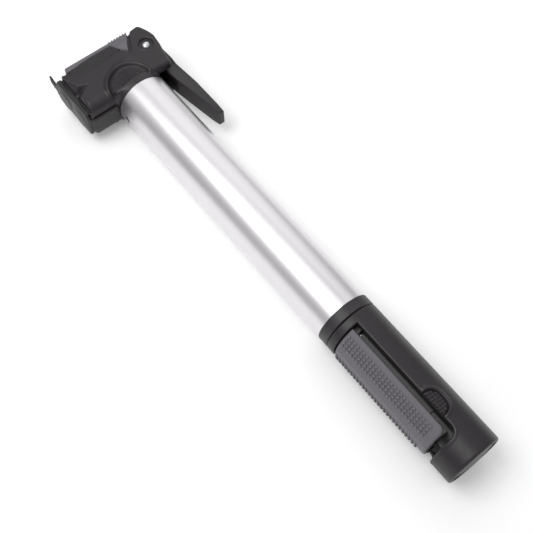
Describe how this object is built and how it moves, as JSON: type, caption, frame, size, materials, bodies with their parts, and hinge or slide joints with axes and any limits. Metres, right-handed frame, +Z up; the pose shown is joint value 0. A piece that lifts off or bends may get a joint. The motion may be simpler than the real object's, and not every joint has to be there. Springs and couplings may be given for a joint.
{
  "type": "mini bicycle pump",
  "caption": "Slim hand pump with an aluminium barrel, a side valve head with a lock lever, and a black handle with a fold-out grip.",
  "frame": {"origin": "on the barrel's axis, at the middle of the bare tube, where a frame clip holds it", "axes": "+X along the barrel towards the end of the handle, +Y towards the lock lever, away from the valve face, +Z up as the pump lies on a table"},
  "size_m": [0.2832, 0.0592, 0.0284],
  "materials": {
    "satin_aluminium": "bead-blasted and clear anodised",
    "bare_aluminium": "drawn tube, brushed",
    "black_plastic": "fine moulded grain",
    "dark_plastic": "fine moulded grain",
    "grey_rubber": "soft overmould with raised dots",
    "black_rubber": "moulded",
    "white_nylon": "moulded",
    "steel": "plated",
    "polished_steel": "polished dome"
  },
  "bodies": {
    "barrel": {"barrel_tube": "satin_aluminium", "barrel_snap_pin": "black_plastic", "barrel_collar": "black_plastic", "rod_bush": "white_nylon", "rod_wiper": "black_rubber", "head_body": "black_plastic", "head_oring": "black_rubber", "check_valve": "black_rubber", "check_valve_cage": "white_nylon", "valve_face_plate": "black_plastic", "narrow_valve_grommet": "black_rubber", "wide_valve_grommet": "black_rubber", "plunger_seal": "black_rubber", "valve_core_pin": "steel", "lever_washers": "steel", "lever_rivet": "polished_steel", "thumb_pad": "grey_rubber", "dust_cap_strap": "black_rubber"},
    "piston": {"piston": "white_nylon", "piston_seal": "black_rubber"},
    "handle": {"piston_screw": "steel", "rod_stub": "bare_aluminium", "piston_rod": "bare_aluminium", "bump_stop": "black_rubber", "handle_shell": "black_plastic", "handle_core": "black_plastic", "handle_screw": "steel", "handle_end_cap": "black_plastic", "grip_hinge_pin": "steel"},
    "grip": {"grip_lever": "dark_plastic", "grip_pad": "grey_rubber"},
    "lock_lever": {"lock_lever": "black_plastic"},
    "plunger": {"squeeze_plunger": "white_nylon"},
    "dust_cap": {"dust_cap": "black_rubber"}
  },
  "joints": [
    {"name": "pump_stroke", "type": "slide", "parent": "barrel", "child": "piston", "axis": [1, 0, 0], "range_m": [0, 0.119]},
    {"name": "handle_twist", "type": "hinge", "parent": "piston", "child": "handle", "pos_m": [0, 0, 0], "axis": [-1, 0, 0], "range_deg": [0, 36]},
    {"name": "grip_flip", "type": "hinge", "parent": "handle", "child": "grip", "pos_m": [0.145, -0.00904, 0.00259], "axis": [0, 0.2756, 0.9613], "range_deg": [0, 90]},
    {"name": "lock_lever_swing", "type": "hinge", "parent": "barrel", "child": "lock_lever", "pos_m": [-0.0983, 0.017, 0], "axis": [0, 0, 1], "range_deg": [0, 90]},
    {"name": "plunger_squeeze", "type": "slide", "parent": "barrel", "child": "plunger", "axis": [0, -1, 0], "range_m": [0, 0.00213]},
    {"name": "dust_cap_swing", "type": "hinge", "parent": "barrel", "child": "dust_cap", "pos_m": [-0.0802, -0.03, 0], "axis": [0, 0, 1], "range_deg": [0, 110]}
  ],
  "couplings": [
    {"joint": "plunger_squeeze", "follows": "lock_lever_swing", "m_per_rad": 0.00135}
  ]
}
